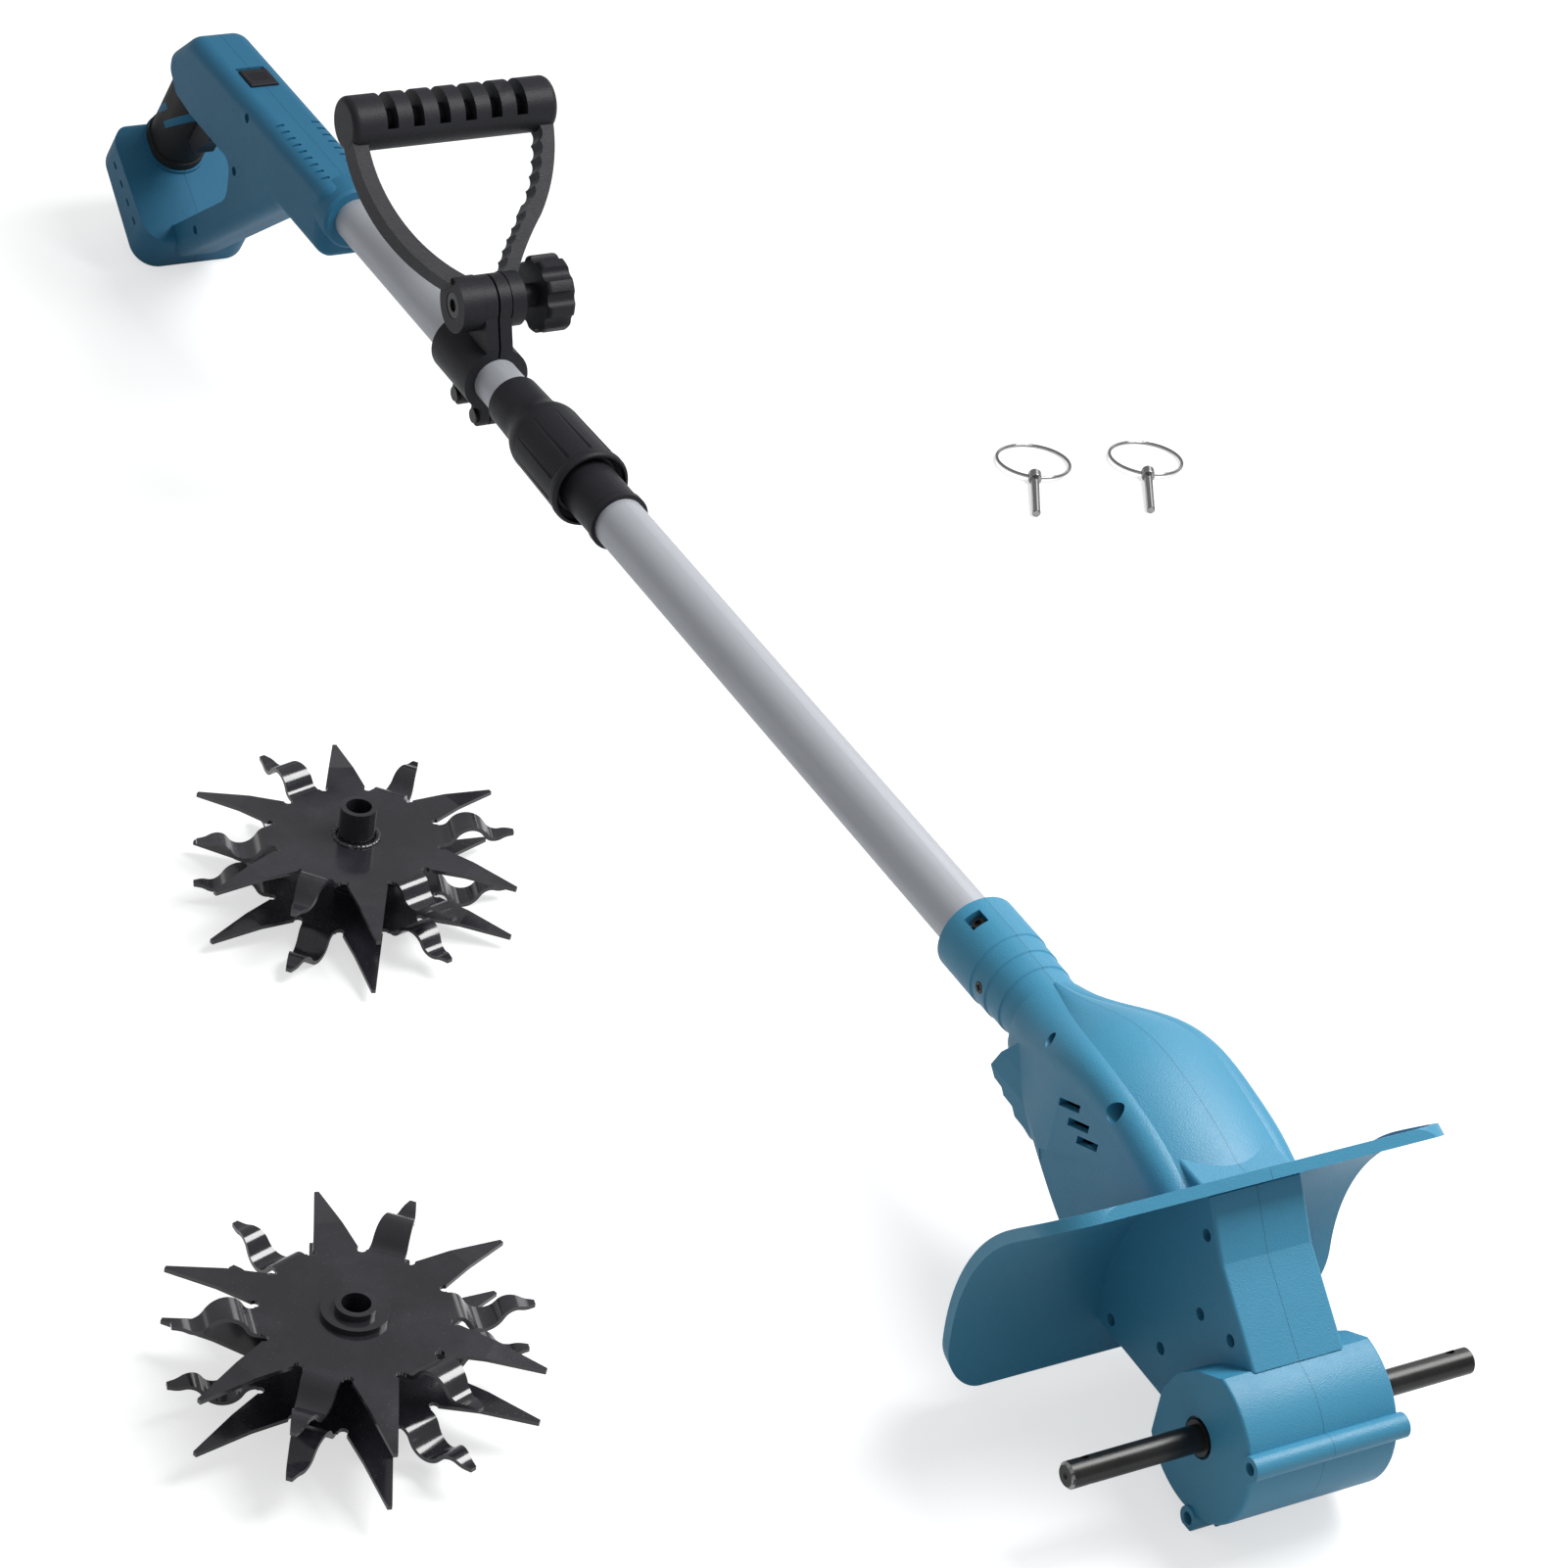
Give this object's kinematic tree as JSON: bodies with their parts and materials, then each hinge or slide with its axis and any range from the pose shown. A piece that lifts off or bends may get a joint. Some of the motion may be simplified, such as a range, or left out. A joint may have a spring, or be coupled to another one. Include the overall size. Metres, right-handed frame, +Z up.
{
  "type": "cordless cultivator",
  "caption": "Pole cultivator: blue motor head with curved tine guard and through axle, telescoping pole with twist lock, D-handle, rear trigger handle, loose tine rotors and ring pins.",
  "frame": {"origin": "on the floor under the axle, at the middle of the gear case skid", "axes": "+Z up, +Y along the pole towards the user, +X along the axle to the right"},
  "size_m": [0.8972, 1.2781, 0.2613],
  "materials": {
    "blue_plastic": "fine spark-eroded grain, satin",
    "black_plastic": "fine grain, satin",
    "rubber": "soft matt",
    "satin_aluminium": "satin anodised",
    "black_steel": "gloss black coat",
    "axle_steel": "black oxide, lightly oiled",
    "zinc_steel": "bright zinc",
    "gear_steel": "machined",
    "bearing_steel": "ground",
    "motor_steel": "drawn, zinc plated"
  },
  "bodies": {
    "head": {"head_housing_left": "blue_plastic", "head_housing_right": "blue_plastic", "head_screws": "axle_steel", "neck_nut": "axle_steel", "axle_bearings": "bearing_steel", "gear_pins": "gear_steel", "motor_can": "motor_steel", "motor_brush_cap": "black_plastic", "lower_tube": "satin_aluminium", "lock_body": "black_plastic"},
    "axle": {"axle": "axle_steel", "axle_sleeves": "gear_steel", "output_gear": "gear_steel"},
    "first_idler": {"first_idler_gear": "gear_steel"},
    "second_reduction": {"second_reduction_gear": "gear_steel"},
    "second_idler": {"second_idler_gear": "gear_steel"},
    "first_reduction": {"first_reduction_gear": "gear_steel"},
    "motor_rotor": {"motor_shaft": "gear_steel"},
    "twist_grip": {"twist_grip": "black_plastic", "collet_ring": "black_plastic"},
    "upper_pole": {"upper_tube": "satin_aluminium", "tube_bush": "black_plastic", "rear_handle_left": "blue_plastic", "rear_handle_right": "blue_plastic", "handle_screws": "axle_steel", "grip_sleeve": "rubber", "terminal_block": "black_plastic", "trigger_switch": "black_plastic"},
    "trigger": {"trigger": "black_plastic"},
    "slide_button": {"slide_button": "black_plastic"},
    "clamp": {"clamp_left": "black_plastic", "clamp_right": "black_plastic", "clamp_bolts": "bearing_steel", "pivot_bolt": "bearing_steel"},
    "d_handle": {"d_handle": "black_plastic"},
    "star_knob": {"star_knob": "black_plastic"},
    "rotor_1": {"rotor_1_upper_plate": "black_steel", "rotor_1_lower_plate": "black_steel", "rotor_1_hub": "black_steel", "rotor_1_welds": "black_steel"},
    "rotor_2": {"rotor_2_upper_plate": "black_steel", "rotor_2_lower_plate": "black_steel", "rotor_2_hub": "black_steel", "rotor_2_welds": "black_steel"},
    "ring_pin_1": {"ring_pin_1": "zinc_steel"},
    "pin_ring_1": {"pin_ring_1": "zinc_steel"},
    "ring_pin_2": {"ring_pin_2": "zinc_steel"},
    "pin_ring_2": {"pin_ring_2": "zinc_steel"}
  },
  "joints": [
    {"name": "axle_spin", "type": "hinge", "parent": "head", "child": "axle", "pos_m": [0, 0, 0.044], "axis": [1, 0, 0], "continuous": true},
    {"name": "first_idler_spin", "type": "hinge", "parent": "head", "child": "first_idler", "pos_m": [0, 0.04002, 0.06228], "axis": [1, 0, 0], "continuous": true},
    {"name": "second_reduction_spin", "type": "hinge", "parent": "head", "child": "second_reduction", "pos_m": [0, 0.06266, 0.07506], "axis": [1, 0, 0], "continuous": true},
    {"name": "second_idler_spin", "type": "hinge", "parent": "head", "child": "second_idler", "pos_m": [0, 0.09452, 0.09485], "axis": [1, 0, 0], "continuous": true},
    {"name": "first_reduction_spin", "type": "hinge", "parent": "head", "child": "first_reduction", "pos_m": [0, 0.11363, 0.10672], "axis": [1, 0, 0], "continuous": true},
    {"name": "motor_spin", "type": "hinge", "parent": "head", "child": "motor_rotor", "pos_m": [0, 0.14249, 0.11491], "axis": [1, 0, 0], "continuous": true},
    {"name": "lock_twist", "type": "hinge", "parent": "head", "child": "twist_grip", "pos_m": [0, 0.69767, 0.12752], "axis": [0, 0.9995, 0.0322], "range_deg": [0, 90]},
    {"name": "pole_extend", "type": "slide", "parent": "head", "child": "upper_pole", "axis": [0, 0.9995, 0.0322], "range_m": [0, 0.18]},
    {"name": "trigger_pull", "type": "slide", "parent": "upper_pole", "child": "trigger", "axis": [0, 0.8401, 0.5424], "range_m": [0, 0.005], "stiffness_N_per_m": 800, "springref_m": -0.002},
    {"name": "button_slide", "type": "slide", "parent": "upper_pole", "child": "slide_button", "axis": [0, 0.9995, 0.0322], "range_m": [0, 0.005]},
    {"name": "clamp_slide", "type": "slide", "parent": "upper_pole", "child": "clamp", "axis": [0, 0.9995, 0.0322], "range_m": [0, 0.13]},
    {"name": "handle_tilt", "type": "hinge", "parent": "clamp", "child": "d_handle", "pos_m": [0, 0.79241, 0.1681], "axis": [1, 0, 0], "range_deg": [-38, 90]},
    {"name": "knob_turn", "type": "hinge", "parent": "clamp", "child": "star_knob", "pos_m": [0, 0.79241, 0.1681], "axis": [1, 0, 0], "range_deg": [-180, 180]},
    {"name": "rotor_1_lift", "type": "slide", "parent": "head", "child": "rotor_1", "axis": [0, 0, 1], "range_m": [0, 0.3]},
    {"name": "rotor_2_lift", "type": "slide", "parent": "head", "child": "rotor_2", "axis": [0, 0, 1], "range_m": [0, 0.3]},
    {"name": "ring_pin_1_lift", "type": "slide", "parent": "head", "child": "ring_pin_1", "axis": [0, 0, 1], "range_m": [0, 0.3]},
    {"name": "pin_ring_1_swing", "type": "hinge", "parent": "ring_pin_1", "child": "pin_ring_1", "pos_m": [0.37362, 0.78682, 0.004], "axis": [0.866, -0.5, 0], "range_deg": [0, 180]},
    {"name": "ring_pin_2_lift", "type": "slide", "parent": "head", "child": "ring_pin_2", "axis": [0, 0, 1], "range_m": [0, 0.3]},
    {"name": "pin_ring_2_swing", "type": "hinge", "parent": "ring_pin_2", "child": "pin_ring_2", "pos_m": [0.44362, 0.77082, 0.004], "axis": [0.866, -0.5, 0], "range_deg": [0, 180]}
  ],
  "couplings": [
    {"joint": "first_idler_spin", "follows": "axle_spin", "ratio": -2.1429},
    {"joint": "second_reduction_spin", "follows": "axle_spin", "ratio": 2.5},
    {"joint": "second_idler_spin", "follows": "axle_spin", "ratio": -4.4444},
    {"joint": "first_reduction_spin", "follows": "axle_spin", "ratio": 6.6667},
    {"joint": "motor_spin", "follows": "axle_spin", "ratio": -33.333}
  ]
}
